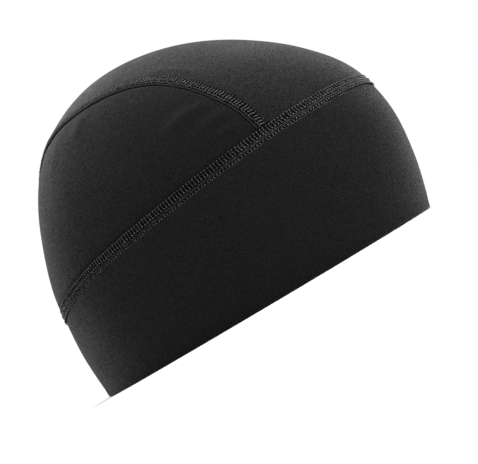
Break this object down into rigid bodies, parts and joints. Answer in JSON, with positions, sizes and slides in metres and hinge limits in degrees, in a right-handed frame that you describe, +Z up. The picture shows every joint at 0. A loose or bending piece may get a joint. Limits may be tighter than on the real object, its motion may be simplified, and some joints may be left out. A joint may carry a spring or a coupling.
{
  "type": "stretch skull cap beanie",
  "caption": "Close-fitting stretch beanie standing on its rim: a wide doubled band, a centre top panel and side panels joined by raised flat seams.",
  "frame": {"origin": "on the surface that the rim stands on, under the middle of the beanie's box", "axes": "+Z up out of the crown, -Y towards the forehead, -X towards the wearer's right"},
  "size_m": [0.1704, 0.2052, 0.1385],
  "materials": {
    "band_cloth": "matt brushed black stretch jersey, folded double",
    "crown_cloth": "matt brushed black stretch jersey",
    "seam_thread": "black flat-seam thread with a slight shine"
  },
  "bodies": {
    "root": {"band": "band_cloth", "band_seam": "seam_thread", "top_panel": "crown_cloth", "side_panel_left": "crown_cloth", "side_panel_right": "crown_cloth", "crown_seam_left": "seam_thread", "crown_seam_right": "seam_thread"}
  },
  "joints": []
}
